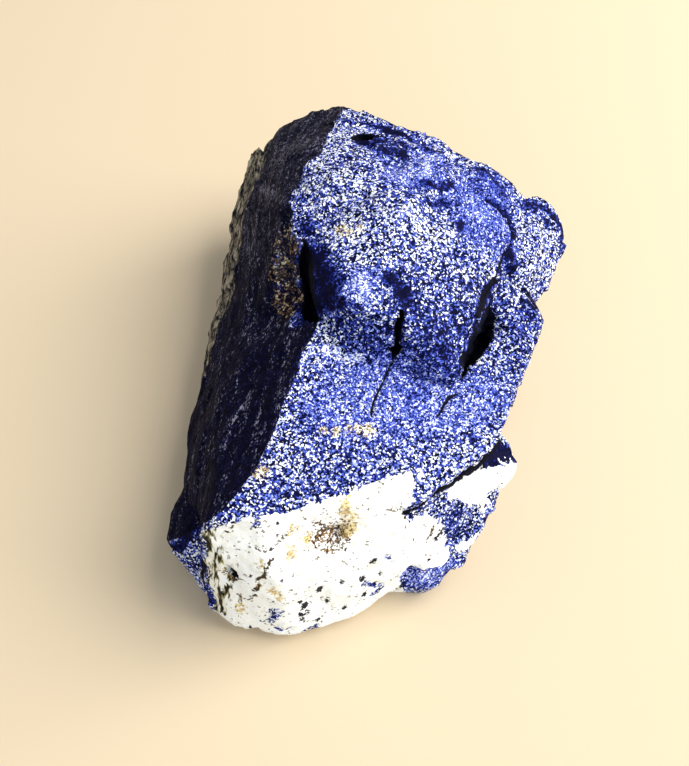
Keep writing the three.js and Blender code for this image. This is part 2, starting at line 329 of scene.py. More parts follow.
def crossing(directions, planes):
    """Distances at which rays from the heart enter and leave a hull.

    Each plane is met at its room ahead divided by the rate of approach. The last plane met from outside
    is the entry, and the first one met from inside is the exit.
    """
    rate = directions @ planes[:, :3].T
    rate = np.where(np.abs(rate) < STILL, STILL, rate)
    distance = (planes[:, 3] - planes[:, :3] @ HEART) / rate
    entry = np.where(rate < 0, distance, -np.inf).max(axis=1)
    leaving = np.where(rate > 0, distance, np.inf).min(axis=1)
    return entry, leaving


def reach(directions):
    """Distance from the heart to the surface along each direction: that of the farthest lump."""
    far = np.zeros(len(directions))
    for planes in lump_planes:
        entry, leaving = crossing(directions, planes)
        far = np.where(entry < leaving, np.maximum(far, leaving), far)
    return far


def press(points, planes, axis):
    """How far each point has to go along the axis to leave a hollow: 0 for points that are not in it.

    The room to a plane ahead, divided by the rate of approach, is the distance to it, and the nearest
    plane ahead is where the hollow ends.
    """
    room = planes[:, 3] - points @ planes[:, :3].T
    rate = planes[:, :3] @ axis
    ahead = rate > STILL
    travel = (room[:, ahead] / rate[ahead]).min(axis=1)
    return np.where((room > 0).all(axis=1), travel, 0.0)


print("reach straight up: %.1f mm" % reach(np.array([[0.0, 0.0, 1.0]]))[0])

# %% [markdown]
# ## A net of even squares
# A globe has crowded poles, and a stone shows them as knots. The skin of a box has none: its lattice
# points, blown up onto the stone, give nearly even squares. A few rounds of smoothing along the surface
# even them out.

# %% Net
CELL = 0.68
BOX_HALF = np.array([44.0, 60.0, 28.0])


def box_skin(counts):
    """Lattice corners of the squares that cover a box, turned to face out."""
    quads = []
    for axis in range(3):
        across, along = (axis + 1) % 3, (axis + 2) % 3
        i, j = np.meshgrid(np.arange(counts[across]), np.arange(counts[along]), indexing="ij")
        for side in (0, 1):
            turns = [(0, 0), (1, 0), (1, 1), (0, 1)] if side else [(0, 0), (0, 1), (1, 1), (1, 0)]
            ring = np.zeros((*i.shape, 4, 3), int)
            for corner, (step_across, step_along) in enumerate(turns):
                ring[..., corner, across] = i + step_across
                ring[..., corner, along] = j + step_along
                ring[..., corner, axis] = side * counts[axis]
            quads.append(ring.reshape(-1, 4, 3))
    return np.concatenate(quads)


counts = np.round(2 * BOX_HALF / CELL).astype(int)
lattice_corners = box_skin(counts).reshape(-1, 3)
lattice_points, quads = np.unique(lattice_corners, axis=0, return_inverse=True)
quads = quads.reshape(-1, 4)
start = (2 * lattice_points / counts - 1) * BOX_HALF
print(len(start), "points,", 2 * len(quads), "triangles")


# %% Points on the surface
def unit(vectors):
    """Vectors of length one."""
    return vectors / np.linalg.norm(vectors, axis=1, keepdims=True)


def gather(values, size):
    """Sum of a value over the squares that meet at each point."""
    spread = np.repeat(values, 4, axis=0)
    flat = quads.ravel()
    return np.stack([np.bincount(flat, spread[:, k], size) for k in range(values.shape[1])], axis=1)


def even_out(values):
    """Each point's value moved to the mean over the middles of the squares around it."""
    middles = values[quads].mean(axis=1)
    valence = np.bincount(quads.ravel(), minlength=len(values))
    return gather(middles, len(values)) / valence[:, None]


def normals_of(points):
    """Outward normals: at each point, the sum of the crossed diagonals of the squares around it."""
    a, b, c, d = (points[quads[:, k]] for k in range(4))
    return unit(gather(np.cross(c - a, d - b), len(points)))


EVENING_ROUNDS = 6
directions = unit(start)
for _ in range(EVENING_ROUNDS):
    grown = HEART + directions * reach(directions)[:, None]
    directions = unit(even_out(grown) - HEART)
ideal = HEART + directions * reach(directions)[:, None]

# painted shade: how far a point lies inside the mouth of a hollow that is painted black
mouth = np.full(len(ideal), -np.inf)      # distance inside the mouth of a dark hollow
for planes, axis, dark in zip(hollow_planes, HOLLOW_AXES, HOLLOW_SHADED):
    if dark:
        mouth = np.maximum(mouth, (planes[:, 3] - ideal @ planes[:, :3].T).min(axis=1))
    way = np.array(axis) / np.linalg.norm(axis)
    pressed = press(ideal, planes, way)
    ideal = ideal + way * pressed[:, None]
    print("hollow pressed %.1f mm deep over %d points" % (pressed.max(), (pressed > 0).sum()))
print("ideal surface from", ideal.min(axis=0).round(1), "to", ideal.max(axis=0).round(1))

# %% [markdown]
# ## The fracture wanders
# A fresh break is never a true plane. The same smooth noise that shifts the corners of the solid shifts
# every point of this finer net, so that both have the same swellings. It fades out near the underside,
# which stays flat to rest on.


# %% Noise
def lattice_value(cells, channel):
    """A repeatable number between -1 and 1 for each whole-number cell."""
    mixed = np.sin(cells @ np.array([127.1, 311.7, 74.7]) + channel * 53.9) * 43758.5453
    return (mixed - np.floor(mixed)) * 2 - 1


def noise(points, spacing, channel):
    """Smooth noise: the numbers of the eight cells around each point, blended along the three axes."""
    scaled = points / spacing
    cell = np.floor(scaled)
    part = scaled - cell
    ease = part * part * (3 - 2 * part)
    total = np.zeros(len(points))
    for step in itertools.product((0, 1), repeat=3):
        weight = np.where(step, ease, 1 - ease).prod(axis=1)
        total += weight * lattice_value(cell + step, channel)
    return total


def smoothstep(value, low, high):
    """0 below low, 1 above high, and a smooth ramp between."""
    t = np.clip((value - low) / (high - low), 0, 1)
    return t * t * (3 - 2 * t)


HEAVE_LENGTH = 17.0
HEAVE_HEIGHT = 0.9
HACKLE_LENGTH = 6.5
HACKLE_HEIGHT = 0.6
QUIET_HEIGHT = 3.0
heave = np.stack([noise(ideal, HEAVE_LENGTH, axis) for axis in range(3)], axis=1)
hackle = np.stack([noise(ideal, HACKLE_LENGTH, axis + 3) for axis in range(3)], axis=1)
quiet = smoothstep(ideal[:, 2], 0, QUIET_HEIGHT)
broken = ideal + (HEAVE_HEIGHT * heave + HACKLE_HEIGHT * hackle) * quiet[:, None]
print("wander of the faces: %.2f mm at most" % np.abs(broken - ideal).max())

# %% [markdown]
# ## Where each kind of rock is
# The zones are written down as places on the ideal surface, in millimetres. A place is an outline in a
# plane, a line on the surface or a few round spots, and each of them gives a distance in millimetres:
# positive inside, negative outside. A distance stays smooth between two points of the net, so the
# material can cut it off sharply and give it a ragged edge finer than the net itself.


# %% Distances
def line_distance(points, line):
    """Distance from each point to the nearest stretch of a line through the given corners."""
    nearest = np.full(len(points), np.inf)
    for begin, end in zip(line, line[1:]):
        begin = np.array(begin, float)
        step = np.array(end, float) - begin
        along = np.clip((points - begin) @ step / max(step @ step, STILL), 0, 1)
        nearest = np.minimum(nearest, np.linalg.norm(points - begin - along[:, None] * step, axis=1))
    return nearest


def outline_distance(flat, outline):
    """Signed distance to a closed outline in a plane, positive inside.

    A point is inside when a ray from it crosses the outline an odd number of times.
    """
    closed = [*outline, outline[0]]
    x, y = flat.T
    inside = np.zeros(len(flat), bool)
    for (ax, ay), (bx, by) in zip(closed, closed[1:]):
        spans = (ay > y) != (by > y)
        lean = (bx - ax) / (by - ay) if by != ay else 0.0
        inside ^= spans & (x < ax + lean * (y - ay))
    distance = line_distance(flat, closed)
    return np.where(inside, distance, -distance)


def spots(flat, places, tall=1.0):
    """Signed distance to the edge of the nearest of some spots in a plane.

    Each spot is a centre and a radius, and all are as many times taller than wide as tall says.
    """
    depth = np.full(len(flat), -np.inf)
    for x, z, radius in places:
        away = (flat - (x, z)) / (1, tall)
        depth = np.maximum(depth, radius - np.linalg.norm(away, axis=1))
    return depth


def laid(line):
    """A line cut into steps of about a millimetre and laid onto the surface, along rays from the heart."""
    stretches = []
    for begin, end in zip(line, line[1:]):
        count = math.ceil(math.dist(begin, end))
        stretches.append(np.linspace(begin, end, count + 1))
    rays = unit(np.concatenate(stretches) - HEART)
    return HEART + rays * reach(rays)[:, None]


def cracks(lines, half_width):
    """Signed distance to the edge of the nearest of some lines on the surface."""
    return half_width - np.min([line_distance(ideal, laid(line)) for line in lines], axis=0)


def bell(distance, width):
    """1 at no distance, falling off smoothly to little more than a third at the width."""
    return np.exp(-(distance / width) ** 2)


def seam(line, half_width):
    """A soft mark along a line."""
    return bell(line_distance(ideal, line), half_width)


def glow(places):
    """A soft mark in round places, each a centre and a radius."""
    marks = [bell(np.linalg.norm(ideal - place, axis=1), radius) for *place, radius in places]
    return np.max(marks, axis=0)


def course(line, value, given, wanted):
    """Where a line runs: one coordinate of it, looked up from another one that grows along it."""
    corners = np.array(line, float)
    return np.interp(value, corners[:, given], corners[:, wanted])


FACING_ROUNDS = 3
facing = normals_of(ideal)
for _ in range(FACING_ROUNDS):
    facing = unit(even_out(facing))
face_east, face_north, face_up = facing.T
east, north, up = ideal.T
EAST, NORTH, UP = range(3)
front = ideal[:, [EAST, UP]]      # the wall and the ledge are drawn as seen from the front
print("helpers ready for", len(ideal), "points")

# %% [markdown]
# ## The calcite
# The white end is a steep wall under the brow, with a ragged blue border. A white tongue runs onto the
# ledge on the right. Blue lapis shows through in small spots near the foot.

# %% Calcite zone
BROW = [
    (-36, -50.5, 34.5), (-32, -51, 35), (-28, -51, 36), (-24.5, -50.5, 37), (-20, -50, 37),
    (-17, -49.5, 36.5), (-13.5, -47.5, 36.5), (-9.5, -46, 36), (-7, -45, 36), (-3.5, -42.5, 36),
    (2, -41, 35.5), (6.5, -39.5, 35), (9, -39, 34.5),
]
WALL = [
    (-32, 46), (-32.5, 34.5), (-32, 32), (-33, 26.5), (-34.5, 20.5), (-34.5, 14), (-33.5, 13),
    (-33.5, 8.5), (-33, 5.5), (-31, -5), (6, -5), (5.5, 5.5), (4.5, 10), (5.5, 13.5), (8.5, 12.5),
    (12, 11.5), (14.5, 11), (15.5, 12.5), (14, 15), (12.5, 19), (11, 22), (9, 25), (6, 27.5), (4, 30.5),
    (4, 32.5), (6, 33), (6, 34.5), (8, 34.5), (8, 46),
]
TONGUE = [
    (12.5, 28.5), (18, 29), (19.5, 27), (21.5, 25.5), (23.5, 25.5), (26.5, 23.5), (28, 22.5), (27.5, 20),
    (25, 18.5), (23.5, 19), (21, 17), (19.5, 19), (17.5, 21.5), (15, 24), (12.5, 26),
]
LEDGE_GAP = [
    (12, 15), (15.5, 14.5), (18.5, 14.5), (20.5, 14), (20.5, 11), (17, 11), (15.5, 12), (13, 12.5),
]
BLUE_WINDOWS = [
    (-21.5, 13, 0.6), (-21.5, 11.5, 1.0), (-21, 10, 1.1), (-22, 8.5, 0.9), (-20, 12, 0.5),
    (-25, 3.5, 0.8), (-20.5, 5.5, 0.7), (-18.5, 5.5, 0.7), (-14, 3.5, 1.2), (-2.5, 13, 0.9),
    (-1, 11, 1.0), (0.5, 10, 1.1), (-0.5, 8.5, 1.0), (1.5, 19.5, 0.7), (-23.5, 35.5, 1.0),
    (22, 19.5, 0.8), (23.5, 19.5, 0.7), (21, 18, 0.7), (24.5, 20, 0.5),
]
SLANT = 0.7          # the border leans by 45 degrees, as the brow does
LEDGE_BACK = -28.0   # marks drawn from the front end here, towards the north
below_brow = SLANT * (course(BROW, east, EAST, NORTH) - north + course(BROW, east, EAST, UP) - up)
wall = np.minimum(outline_distance(front, WALL), below_brow)
on_ledge = LEDGE_BACK - north
tongue = np.maximum(outline_distance(front, TONGUE), outline_distance(front, LEDGE_GAP) - 0.9)
tongue = np.minimum(tongue, on_ledge)
calcite = np.minimum(np.maximum(wall, tongue), -spots(front, BLUE_WINDOWS))
print("calcite on %.0f%% of the surface" % (100 * (calcite > 0).mean()))

# %% [markdown]
# ## Stains and cracks
# Iron has stained the calcite along its cracks and left one rusty hollow full of small dark pits, with a
# fleck of gold at its upper edge. Olive clay fills the grooves at its left edge. On the blue rock there
# are pyrite flecks, thin cracks painted black as shade, and a rust-brown crust on the spur.

# %% Marks
BROWN_CRACKS = [
    [(-20.5, -54.5, 27.5), (-21.5, -55.5, 26), (-22, -56, 24), (-23.5, -56, 22.5), (-23.5, -56.5, 20),
     (-24.5, -56.5, 18.5)],
    [(-26.5, -55, 22.5), (-25, -55.5, 22.5), (-24.5, -55.5, 23.5)],
    [(-29.5, -55.5, 18), (-27, -55.5, 21), (-25.5, -56, 20.5)],
    [(-19.5, -52, 32.5), (-18.5, -52.5, 31.5), (-17.5, -51.5, 32)],
    [(-23.5, -53.5, 30), (-20.5, -53.5, 29.5), (-19.5, -53, 30.5), (-18.5, -52.5, 31)],
    [(-28.5, -56.5, 15), (-27, -57, 14.5), (-25, -57, 16)],
    [(-21, -56, 24), (-22.5, -56, 23)],
    [(-27.5, -51, 35.5), (-28.5, -51.5, 33.5)],
    [(10.5, -44.5, 22), (10, -46, 20), (9, -47, 19)],
    [(4.5, -46.5, 29.5), (6, -45.5, 27.5)],
    [(6, -47.5, 21.5), (7, -47, 19.5)],
]
ORANGE_SPOTS = [
    (-17, 28, 1.0), (-16.5, 32.5, 0.8), (-28, 10.5, 0.9), (-20, 17.5, 0.8), (-21, 19.5, 0.7),
    (-22.5, 26.5, 0.8), (-23.5, 21, 0.7), (-14, 30, 0.8), (-7, 34.5, 1.2), (-6, 32.5, 1.0),
    (-6, 30.5, 1.2), (-7, 29.5, 0.8),
]
BLACK_DOTS = [
    (-12, 16, 0.8), (-11.5, 17, 0.4), (-10.5, 11, 0.6), (-10.5, 12, 0.5), (-7.5, 16, 0.5),
    (-16.5, 23, 0.4), (-19, 22.5, 0.4), (-18, 19, 0.5), (-16, 15.5, 0.4), (-21.5, 16, 0.4),
    (-19, 15, 0.5), (-16, 14, 0.6), (-15, 12, 0.8), (-14.5, 9.5, 0.6), (-16, 9.5, 0.7), (-16, 7.5, 0.5),
    (-13, 6, 0.6), (-7, 7.5, 0.6), (-24.5, 17, 0.5), (-19.5, 35, 0.4), (-26, 4.5, 0.5), (-23.5, 7.5, 0.5),
    (-7, 25, 0.4), (-3.5, 15, 0.7), (-3, 9.5, 0.7), (-1, 19.5, 0.7), (0.5, 15, 0.5), (10, 14.5, 0.4),
    (7, 11.5, 0.4), (5, 8, 0.5), (4, 6.5, 0.7), (11, 18.5, 0.5), (12, 19.5, 0.5),
]
RUSTY_HOLLOW = [
    (-10, -50, 30.5, 3.6), (-8.5, -49.5, 29, 3.0), (-11.5, -51, 29.5, 3.0), (-9, -52, 27, 2.4),
    (-30, -55, 19.5, 1.8),
]
SPUR_CRUST = [
    (-19, 8.5, 47.5, 3.5), (-17, 6, 48.5, 3.0), (-19, 5, 43.5, 3.8), (-16.5, 2.5, 45, 2.6),
    (-18.5, 2, 40, 3.4), (-20, -1.5, 38, 3.2), (-17, -1, 40, 3.0), (-21, 3, 42.5, 3.0),
    (-21, -1, 38.5, 3.0), (-19, -4, 38, 2.6),
]
CLEFT_LIP = [(17, -15, 36.5), (18, -11.5, 39), (19.5, -8, 41), (22, -4, 42), (24, -1.5, 42)]
# painted shade: a dark line is painted along the top of the open cleft
CLEFT_TOP = [(20.5, -7.5, 42), (22.5, -3.5, 42), (25, 1.5, 42)]
GOLD_FLECKS = [
    (-11.5, -33.5, 39, 1.0), (-9, -33.5, 38.5, 1.0), (-6.5, -33, 38.5, 1.0), (-4, -32.5, 38, 1.4),
    (-2, -32, 37.5, 1.4), (-23, -42, 39, 1.5), (-21, 3, 43, 2.2), (-18.5, 5.5, 43, 1.6),
    (-7, 6.5, 53.5, 1.3), (-5.5, 4.5, 53.5, 1.3), (-3, 5, 54, 1.2), (-7, 19, 54, 0.8),
]
# painted shade: these thin cracks are grooved and also painted near black
BLUE_CRACKS = [
    [(2.5, -18.5, 39.5), (1.5, -20, 39), (0.5, -24, 38.5), (-1, -28.5, 38)],
    [(16, -21, 35.5), (14.5, -22.5, 36), (13, -24.5, 36), (11.5, -27.5, 36)],
    [(24.5, 21.5, 45.5), (28, 21, 43), (30, 21, 41.5), (30, 16, 40.5), (28.5, 11.5, 41)],
    [(-3, 15, 55), (-1, 14, 55.5), (0, 11.5, 55.5), (1.5, 10.5, 55.5), (2.5, 9.5, 56)],
    [(14, -45.5, 15), (17, -44, 15), (18.5, -42.5, 15), (20, -41.5, 15)],
    [(28.5, 11.5, 41), (27, 7.5, 42), (25.5, 3, 42), (23.5, -1.5, 42), (21.5, -4.5, 42)],
]
KNOB_CRACK = BLUE_CRACKS[2]
# painted shade: the mouth of the slot is painted black along this line
SLOT_LINE = [
    (24, -29, 31), (22, -32, 31.5), (19.5, -35, 30), (16.5, -37.5, 30), (13, -40, 30), (9.5, -43, 30.5),
    (4.5, -46, 30),
]
SPOT_TALL = 1.4
WIDEST_CRACK = BROWN_CRACKS[0]
stain = np.maximum(cracks(BROWN_CRACKS, 0.20), cracks([WIDEST_CRACK], 0.38))
orange = spots(front, ORANGE_SPOTS, SPOT_TALL)
dots = spots(front, BLACK_DOTS, SPOT_TALL) - 0.06
rust = np.maximum(glow(RUSTY_HOLLOW + SPUR_CRUST), seam(CLEFT_LIP, 0.8))
gold = glow(GOLD_FLECKS)
crack = cracks(BLUE_CRACKS, 0.28)
print("marks: %d points in a crack, %d in a dot" % ((crack > 0).sum(), (dots > 0).sum()))

# %% [markdown]
# ## Weathered and shaded faces
# The long flank on the left has been open for ages. It is duller than a fresh break, and its near-black
# colour is partly weathering and partly painted shade: the mask picks the faces that turn away from the
# window, and also the back. The clay crust that sticks to its lower rim is tan and olive. The upper lump
# broke fresh across coarse calcite grains, so that it is sprinkled with white, and the facet below the step
# broke smooth. Each of these is a mask: a product of ramps over where a point lies and which way it faces.

# %% Places of crust and flank
CRUST_RIM = [
    (-28.5, 53, 28), (-30, 43, 26), (-32, 33, 24), (-34.5, 23.5, 21), (-35.5, 14, 19.5),
    (-37.5, 3.5, 17.5), (-39.5, -0.5, 14),
]
WALL_COLUMNS = [(-31.5, 35), (-32, 30), (-33, 25), (-33.5, 19), (-33.5, 14), (-33, 7)]
SHORT_COLUMNS = [(-29, 31), (-30, 27), (-30.5, 22), (-30.5, 15), (-30.5, 11.5)]
FACET_WEST = [
    (-31, -50.5), (-29, -49), (-27, -46.5), (-25.5, -44), (-24, -41.5), (-23, -39), (-21.5, -35.5),
    (-20.5, -32), (-19, -28), (-17.5, -25.5), (-16, -22), (-15, -18), (-13.5, -14.5), (-12, -9.5),
]
ROOF_EDGE = [(-20.5, 14.5), (-18, 19.5), (-15.5, 25.5), (-11, 31), (-9.5, 38.5), (-8, 45), (-6, 50)]

# %% Flank
# the flank looks west, away from the window, and its dark colour is partly painted shade; the walls of the
# gully and the facet are fresh
high_up = smoothstep(up, 33, 35)
facet_x = course(FACET_WEST, north, NORTH, EAST)
gully_wall = smoothstep(east, -19.5, -17.5) * smoothstep(north, 13, 10) * smoothstep(north, -11, -9)
on_facet = smoothstep(east - facet_x, 0.3, 0.9) * smoothstep(north, -9, -9.6) * high_up
flank = smoothstep(-face_east, 0.28, 0.46) * smoothstep(face_north, -0.75, -0.55)
flank *= (1 - gully_wall) * (1 - on_facet)

# the roof of the upper lump and the rim beside the facet are weathered too; the back and the shelf below
# it, which turn away from the camera and the window, get the flank's dark as painted shade
roof_x = course(ROOF_EDGE, north, NORTH, EAST)
roof = smoothstep(roof_x - east, -0.3, 0.3) * smoothstep(north, 13, 15) * smoothstep(up, 30, 34)
above_toe = smoothstep(north, -51, -49) * smoothstep(north, -10, -11) * high_up
facet_rim = smoothstep(facet_x - east, -0.3, 0.3) * above_toe
back_shade = smoothstep(0.35 * face_east + 0.90 * face_north, 0.58, 0.74)
shelf = smoothstep(north, 31, 34) * smoothstep(up, 42, 40) * smoothstep(face_north, 0.25, 0.4)
shelf *= smoothstep(east, 30, 27)
flank = np.max([flank, roof, facet_rim, 0.85 * back_shade, 0.85 * shelf], axis=0)

# the calcite and the front of the toe keep their own colour, with no weathering or painted shade
flank *= 1 - smoothstep(calcite, -1.5, 0.0)
flank *= 1 - smoothstep(-face_north, 0.35, 0.6) * smoothstep(-35 - north, 0, 3)
charcoal = smoothstep(north, 8, 26) * smoothstep(up, 20, 32)
print("flank on %.0f%% of the surface" % (100 * flank.mean()))

# %% Crust and columns
crust = 3.2 + 2.6 * smoothstep(north, 5, 20) - line_distance(ideal, CRUST_RIM)
under_rim = smoothstep(north, -12, 0) * smoothstep(-face_east, 0.5, 0.8)
crust = np.maximum(crust, under_rim * (15 - up) * 0.25 - 1.2)
columns = np.maximum(2.2 - line_distance(front, WALL_COLUMNS), 1.0 - line_distance(front, SHORT_COLUMNS))
columns = np.where(north < -48, columns, -3.0)
print("crust on %.0f%% of the surface" % (100 * (crust > 0).mean()))

# %% [markdown]
# ## Moods of the blue rock
# The blue rock is not the same everywhere. Where it broke across coarse grains it is frosted with white,
# where it broke smooth it is calm and its grains are finer, and some places are a purer royal blue. Shade
# is painted into recesses, creases and a ledge facet, and a painted highlight runs along the facet edge.
# Tone makes single places and lines lighter or darker, partly the rock's own and partly painted light and
# shade. The clefts, the slot and the foot of the step lie in shade, which is painted dark.

# %% Places of the moods
# painted shade: a shaded facet on the ledge, painted dark
SHADED_LEDGE = [
    (24, 31), (26.5, 27.5), (29.5, 25), (29, 22.5), (26.5, 23), (23.5, 25), (21.5, 25.5), (19.5, 27),
    (18, 31),
]
# painted highlight: a bright line along the edge of the facet, in the frost and in the tone lines
FACET_EDGE = [
    (-14.5, -19.5, 42), (-12.5, -18, 42), (-10.5, -17, 42), (-8.5, -16.5, 41.5), (-7, -18, 41),
    (-4, -18, 41),
]
STEP_FOOT = [(-8, -17.5), (-4, -17.5), (1, -18), (6, -18.5), (12.5, -19), (15, -19.5), (17.5, -19)]
# painted shade: recesses, dents, creases and the sides of the gully, painted darker
SHADED_PLACES = [
    (30, 8.5, 37.5, 1.4), (32.5, 7, 35, 1.6), (34, 5.5, 32.5, 1.6), (33, 1.5, 34, 1.2),
    (29.5, 15, 41, 0.9), (28.5, 10, 40, 1.3), (4.5, -10, 51.5, 2.2), (2.5, -7, 52.5, 1.4),
    (4, 40.5, 48.5, 1.7), (-12, -1.5, 51.5, 2.4), (-10, -4.5, 51.5, 2.4), (-9.5, -8, 50, 2.8),
    (-10.5, -9, 47.5, 3.0), (-8, -11, 50, 1.6), (-14, 8, 51.5, 1.6), (-13, 0, 49.5, 2.4),
    (-13, -4, 47, 3.0), (-16, -3, 40, 3.2), (-11, -4.5, 50.5, 3.0), (-10.5, -7, 49, 3.4),
    (-9.5, -8, 50.5, 1.8), (-12, -7.5, 45, 3.0), (-15, -8.5, 41.5, 2.8), (-19.5, 0, 40, 3.4),
    (-17, 5, 47, 2.6), (-8, -13, 46, 1.2), (12, 9.5, 52, 0.9), (18, 10, 48.5, 1.0), (32, 25, 40, 1.0),
    (36, 26.5, 37.5, 1.0), (39, 24, 35.5, 1.2), (-6, 26.5, 53, 0.9),
]
ROYAL_LINE = [
    (-28, -48, 38), (-22, -47.5, 37.5), (-15, -45, 37.5), (-8, -42, 37), (0, -40, 36), (6, -40, 35),
]
FROST_PLACES = [
    (4, 1, 54, 8), (-3, 5, 54, 8), (10, 2, 51, 6), (-8, 16, 53.5, 9), (-6, 28, 51.5, 6), (36, 22, 35, 5),
    (33, 12, 37, 4), (-6, -2, 53, 6), (30, 2, 37, 4),
]
# partly the rock's own tone, partly painted shade in the gully, on the shoulder, below the step and on the
# toe, and painted light on a bevel that faces away from the window
TONE_LIGHT_SHADE_PLACES = [      # place, radius and how much lighter the rock is there
    (31, -5, 34.5, 7, -0.27), (28, -16, 33, 6, -0.12), (12, -15, 44, 5, -0.22), (20, -10, 40, 4, -0.15),
    (6, -12, 50, 4, -0.12), (-13, -3, 46, 4, -0.25), (-10.5, -12.5, 43.5, 2.5, 0.06),
    (-10.5, -0.5, 52, 2.6, -0.25), (-13.5, 4, 51.5, 2.4, -0.35), (-27, 19.5, 35, 5, 0.18),
    (-14, -33.5, 39.5, 6, 0.06), (-20, -47, 37.5, 6, -0.06), (10.5, 1, 51, 6, 0.04),
    (6, 38, 48, 8, -0.16), (-16, 20, 50, 8, -0.02), (38, 20, 35, 8, -0.03), (-10, -42, 37.5, 9, -0.06),
    (-37, -47, 12, 8, -0.10), (-3.5, -10, 52, 3.2, 0.33), (8, -5, 52, 6, -0.06), (18, -5, 46, 6, -0.06),
    (11, -49.5, 10, 5, 0.08), (15, -43, 20, 4, -0.20), (22, 30, 46, 8, -0.10), (-14, 14, 51.5, 7, -0.05),
]
# the darker lines are painted shade along cracks, creases, the gash and the rim of the knob; the lighter
# line along FACET_EDGE is a painted highlight
TONE_LIGHT_SHADE_LINES = [       # half width, how much lighter the rock is along it, and the line
    (0.6, 0.35, [(5.5, 16, 54.5), (5.5, 14, 55)]),
    (0.6, 0.35, [(8, 34.5, 49.5), (8, 31.5, 51)]),
    (0.7, 0.35, [(11, 26.5, 52), (11, 21, 53.5)]),
    (0.6, 0.35, [(12.5, 15.5, 53.5), (15.5, 16.5, 51.5)]),
    (0.8, -0.45, [(9.5, 18, 54), (12, 17, 54), (14.5, 17, 52.5), (16.5, 19, 51.5)]),
    (0.8, -0.45, [(10.5, 13, 53.5), (12.5, 13, 53), (14.5, 15, 52), (15, 14, 51.5)]),
    (0.7, -0.40, [(7, 15, 55), (7.5, 13, 55)]),
    (0.8, -0.40, [(-2, 23, 54.5), (-1.5, 22.5, 54.5)]),
    (1.0, -0.70, [(-4, 34, 51.5), (-1, 31, 53), (2, 33, 52)]),
    (0.9, -0.50, [(5, 40, 48.5), (6, 39, 48.5)]),
    (1.2, -0.45, [(1.5, 29, 53), (4.5, 30.5, 52.5), (6, 29, 52.5)]),
    (0.7, -0.45, [(6, 29, 52.5), (7, 33, 50.5), (5.5, 34.5, 50.5), (4, 33, 51.5)]),
    (0.8, -0.60, KNOB_CRACK),
    (0.9, -0.60, [(21, -6, 42), (22.5, -3.5, 42), (24.5, -0.5, 42)]),
    (0.8, -0.55, [(-4.5, 43.5, 49), (2.5, 42.5, 47.5), (6.5, 39, 48.5), (11, 34, 48.5)]),
    (0.6, -0.45, [(11, 34, 48.5), (17.5, 31, 47.5), (23, 29, 46), (26, 25.5, 44.5), (28, 25, 43)]),
    (1.0, -0.60, [(33, 27, 39), (36, 28.5, 37), (39.5, 27, 34.5), (42.5, 25.5, 31.5), (43, 22, 30)]),
    (0.6, -0.70, [(29, 3, 37.5), (30, 2, 36.5), (32, 1.5, 35), (33.5, 1, 34)]),
    (0.7, 0.45, FACET_EDGE),
    (1.0, -0.60, [(-42.5, -44, 11), (-40, -45, 14), (-38.5, -44.5, 17), (-35.5, -43.5, 20.5)]),
    (0.8, 0.35, [(-38.5, -46.5, 14.5), (-37.5, -47.5, 14.5)]),
    (1.2, -0.50, [(-35, -54, 11.5), (-35, -54.5, 7)]),
    (0.40, 0.38, [(-26, -24, 36.5), (-27.5, -26, 36), (-28.5, -28.5, 35.5)]),
    (0.40, 0.32, [(-24, -31.5, 38.5), (-23.5, -27, 38.5), (-22.5, -25, 39)]),
    (0.8, 0.35, [(-25.5, 35.5, 35.5), (-23, 27, 41.5), (-21.5, 22.5, 46), (-20, 18.5, 49.5)]),
]
ROYAL_PLACES = [
    (22, 16, 46, 7), (24, 24, 43, 5), (6, -23, 37.5, 5), (-16, -31, 40, 4), (14, 20, 51, 5),
    (16, -43, 17, 6), (-39.5, -46, 14, 5), (14, -42.5, 21, 6), (11, -50, 9, 5),
]
CALM_PLACES = [
    (0, -25, 38.5, 9), (10, -24, 36.5, 7), (22, 16, 46, 8), (24, 24, 44, 5), (-3.5, -9, 52, 3.5),
    (8, 22, 53, 6), (-8, -29, 39.5, 6), (12, 28, 50, 5), (11, -49.5, 10, 5), (20, -22, 35, 5),
    (16, -25, 35, 5),
]

# %% Moods
# frost is the white sprinkle of coarse grains; along the facet edge it is a painted highlight
frost_and_highlight = np.maximum(glow(FROST_PLACES), seam(laid(FACET_EDGE), 0.8))
calm = glow(CALM_PLACES)
royal = np.maximum(seam(ROYAL_LINE, 2.6), 0.7 * glow(ROYAL_PLACES))
# tone: partly the rock's own, partly painted light and painted shade
tone_light_shade = sum(amount * glow([place]) for *place, amount in TONE_LIGHT_SHADE_PLACES)
tone_light_shade += sum(amount * seam(laid(line), half_width) for half_width, amount, line in TONE_LIGHT_SHADE_LINES)
ledge_shade = np.minimum(outline_distance(front, SHADED_LEDGE), on_ledge)
# painted shade in the recesses and on the ledge facet
shade_patches = np.maximum(glow(SHADED_PLACES), smoothstep(ledge_shade, -0.5, 0.5))

# painted shade: the steep step above the facet lies in shade, and its colour is painted darker
steep = smoothstep(-normals_of(ideal)[:, NORTH], 0.15, 0.35)
above_foot = smoothstep(north - course(STEP_FOOT, east, EAST, NORTH), -0.2, 0.4)
step_shade = steep * above_foot * smoothstep(up, 36.5, 38) * smoothstep(east, -8.4, -7.4)

# painted shade: no light comes out of the clefts, the slot and the top of the open cleft, so they are
# painted black
slot_half_width = 0.6 + 0.6 * smoothstep(east, 5, 18)
slot_mouth = np.minimum(slot_half_width - line_distance(ideal, SLOT_LINE), on_ledge)
deep = np.max([mouth, slot_mouth, 0.7 - line_distance(ideal, laid(CLEFT_TOP))], axis=0)
print("tone from %.2f to %.2f" % (tone_light_shade.min(), tone_light_shade.max()))

